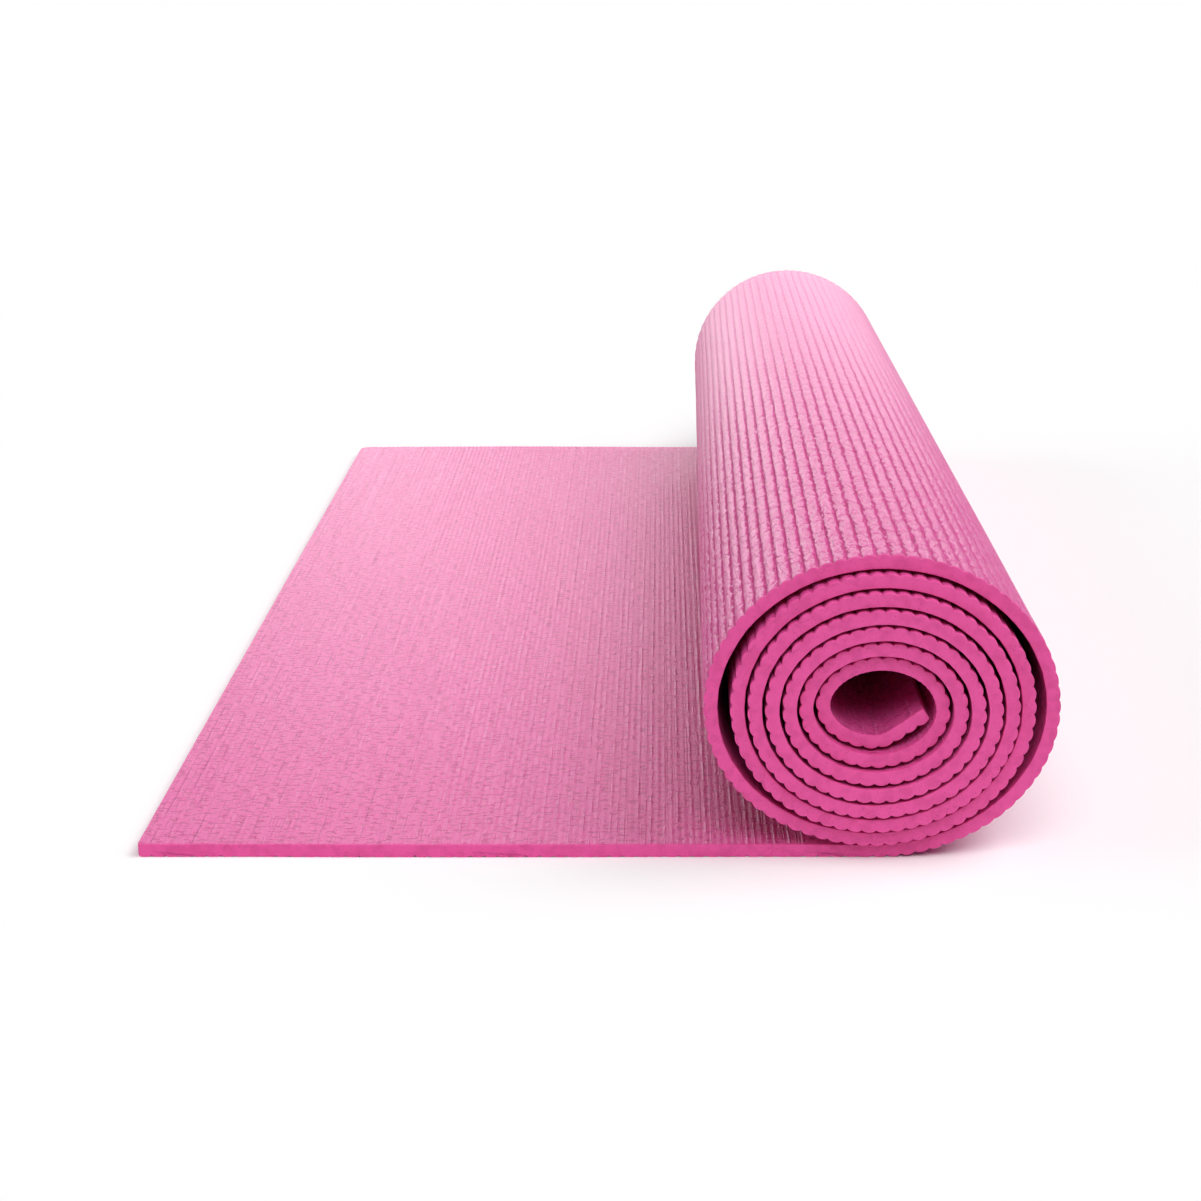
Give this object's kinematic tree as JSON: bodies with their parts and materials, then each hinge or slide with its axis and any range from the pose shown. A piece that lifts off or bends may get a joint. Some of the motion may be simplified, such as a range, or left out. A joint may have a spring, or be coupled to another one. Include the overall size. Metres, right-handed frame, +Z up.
{
  "type": "yoga mat",
  "caption": "Ribbed foam exercise mat, partly rolled: a short flat run on the floor leads into a loose roll with an open eye.",
  "frame": {"origin": "on the floor, in the middle of the footprint", "axes": "+Z up, +X from the bare end of the flat run to the roll, +Y along the roll from the front edge to the rear edge"},
  "size_m": [0.2994, 0.618, 0.1069],
  "materials": {
    "face_foam": "matte",
    "scrim": "matte",
    "base_foam": "matte"
  },
  "bodies": {
    "root": {"face_foam": "face_foam", "scrim": "scrim", "base_foam": "base_foam"}
  },
  "joints": []
}
